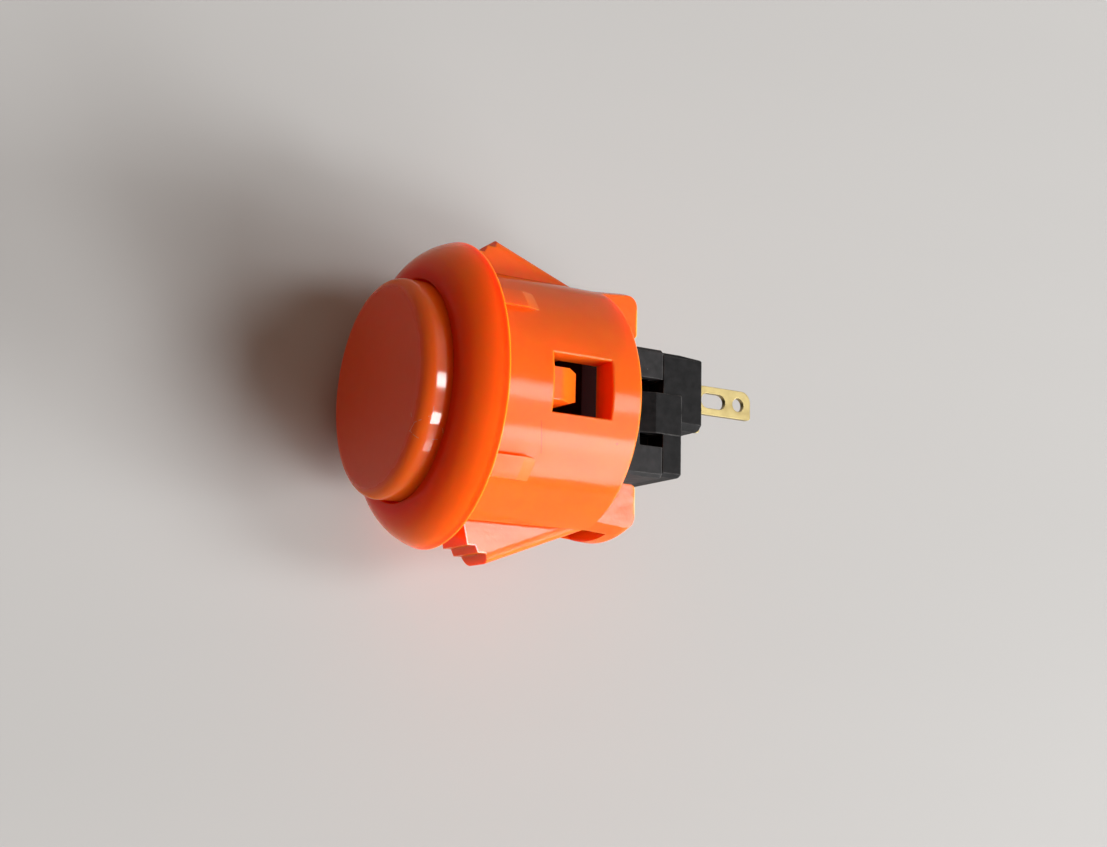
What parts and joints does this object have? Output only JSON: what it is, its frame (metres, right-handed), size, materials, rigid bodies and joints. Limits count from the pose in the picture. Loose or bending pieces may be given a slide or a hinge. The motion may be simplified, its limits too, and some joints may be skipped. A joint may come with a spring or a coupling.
{
  "type": "snap-in arcade push button",
  "caption": "Round orange push button: rounded rim, stepped snap clips for a panel hole, sprung plunger with hooks in side windows, black rear switch with brass blades.",
  "frame": {"origin": "on the button's axis in the plane of the panel's front face, where the rim's underside seats", "axes": "+Z out of the button's face along the plunger's travel, the snap clips on the X axis, the hook windows on the Y axis"},
  "size_m": [0.0364, 0.0338, 0.0463],
  "materials": {
    "orange_plastic": "satin gloss moulding",
    "black_plastic": "fine satin moulding",
    "pin_plastic": "smooth dark plastic",
    "bridge_metal": "plain strip",
    "contact_metal": "silver contact",
    "spring_steel": "drawn wire",
    "terminal_brass": "pale stamped sheet"
  },
  "bodies": {
    "frame": {"housing": "orange_plastic", "switch_case": "black_plastic", "switch_base": "black_plastic", "return_spring": "spring_steel", "terminal_a": "terminal_brass", "terminal_b": "terminal_brass", "fixed_contact_a": "contact_metal", "fixed_contact_b": "contact_metal"},
    "button": {"plunger": "orange_plastic"},
    "push_pin": {"actuator": "pin_plastic", "contact_bridge": "bridge_metal", "moving_contact_a": "contact_metal", "moving_contact_b": "contact_metal"}
  },
  "joints": [
    {"name": "button_press", "type": "slide", "parent": "frame", "child": "button", "axis": [0, 0, -1], "range_m": [0, 0.0025], "stiffness_N_per_m": 200, "springref_m": -0.0025},
    {"name": "pin_press", "type": "slide", "parent": "frame", "child": "push_pin", "axis": [0, 0, -1], "range_m": [0, 0.0025], "deforming": ["return_spring"]}
  ],
  "couplings": [
    {"joint": "pin_press", "follows": "button_press", "ratio": 1}
  ]
}
